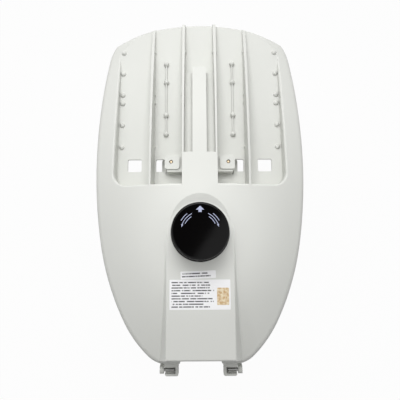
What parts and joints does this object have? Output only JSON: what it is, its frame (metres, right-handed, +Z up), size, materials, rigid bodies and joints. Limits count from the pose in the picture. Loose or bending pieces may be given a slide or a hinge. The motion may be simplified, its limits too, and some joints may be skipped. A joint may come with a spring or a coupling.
{
  "type": "street light head",
  "caption": "Cast LED street-light head for a horizontal mast arm: finned heat-sink tray, hinged gear door, arm clamp and a twist-lock control socket with its cap.",
  "frame": {"origin": "on the mast arm's axis, midway along the clamp's bearing length", "axes": "+Y from the pole end to the street side, +Z up, +X to the right seen from the pole"},
  "size_m": [0.348, 0.6, 0.1506],
  "materials": {
    "housing_coat": "fine-textured powder coat, pale warm grey, on an aluminium casting",
    "door_coat": "fine-textured powder coat, pale warm grey, on an aluminium casting",
    "steel": "bright stainless steel",
    "zinc_steel": "zinc-plated steel",
    "brass": "turned brass",
    "seal_rubber": "matt black rubber",
    "lens_seal": "pale silicone rubber",
    "socket_plastic": "black moulded plastic, fine grain",
    "cap_plastic": "gloss black moulded plastic",
    "driver_case": "potted driver in a dark coated case",
    "terminal_plastic": "dark moulded plastic",
    "led_board": "white solder mask on a metal-core board",
    "led_package": "phosphor over a white package",
    "lens": "clear moulded acrylic"
  },
  "bodies": {
    "housing": {"top_housing": "housing_coat", "door_gasket": "seal_rubber", "receptacle_gasket": "seal_rubber", "led_driver": "driver_case", "driver_screws": "steel", "surge_protector": "socket_plastic", "surge_screws": "steel", "terminal_block": "terminal_plastic", "terminal_screws": "steel", "terminal_wire_screws": "brass", "earth_screw": "brass", "wireway_cover": "door_coat", "wireway_cover_screws": "steel", "wireway_grommet": "seal_rubber", "led_chips": "led_package", "lens_screws": "steel", "led_board_rear_left": "led_board", "lens_gasket_rear_left": "lens_seal", "lens_plate_rear_left": "lens", "led_board_rear_right": "led_board", "lens_gasket_rear_right": "lens_seal", "lens_plate_rear_right": "lens", "led_board_front_left": "led_board", "lens_gasket_front_left": "lens_seal", "lens_plate_front_left": "lens", "led_board_front_right": "led_board", "lens_gasket_front_right": "lens_seal", "lens_plate_front_right": "lens"},
    "door": {"door": "door_coat", "hinge_pins": "steel"},
    "door_screw_left": {"door_screw_left": "brass"},
    "door_screw_right": {"door_screw_right": "brass"},
    "clamp": {"pipe_clamp": "zinc_steel", "clamp_bolts": "zinc_steel", "clamp_washers": "zinc_steel"},
    "receptacle": {"receptacle": "socket_plastic", "receptacle_contacts": "brass", "receptacle_nut": "socket_plastic"},
    "cap": {"cap_shell": "cap_plastic", "cap_base": "socket_plastic", "cap_blades": "brass", "cap_link": "brass", "cap_gasket": "seal_rubber"}
  },
  "joints": [
    {"name": "door_hinge", "type": "hinge", "parent": "housing", "child": "door", "pos_m": [0, -0.0765, -0.012], "axis": [-1, 0, 0], "range_deg": [0, 90]},
    {"name": "door_screw_left_slide", "type": "slide", "parent": "door", "child": "door_screw_left", "axis": [0, 0, -1], "range_m": [0, 0.01]},
    {"name": "door_screw_right_slide", "type": "slide", "parent": "door", "child": "door_screw_right", "axis": [0, 0, -1], "range_m": [0, 0.01]},
    {"name": "clamp_slide", "type": "slide", "parent": "housing", "child": "clamp", "axis": [0, 0, -1], "range_m": [0, 0.006]},
    {"name": "receptacle_turn", "type": "hinge", "parent": "housing", "child": "receptacle", "pos_m": [0, 0.139, 0.045], "axis": [0, 0, 1], "range_deg": [-165, 165]},
    {"name": "cap_twist", "type": "hinge", "parent": "receptacle", "child": "cap", "pos_m": [0, 0.139, 0.055], "axis": [0, 0, 1], "range_deg": [0, 30]}
  ]
}
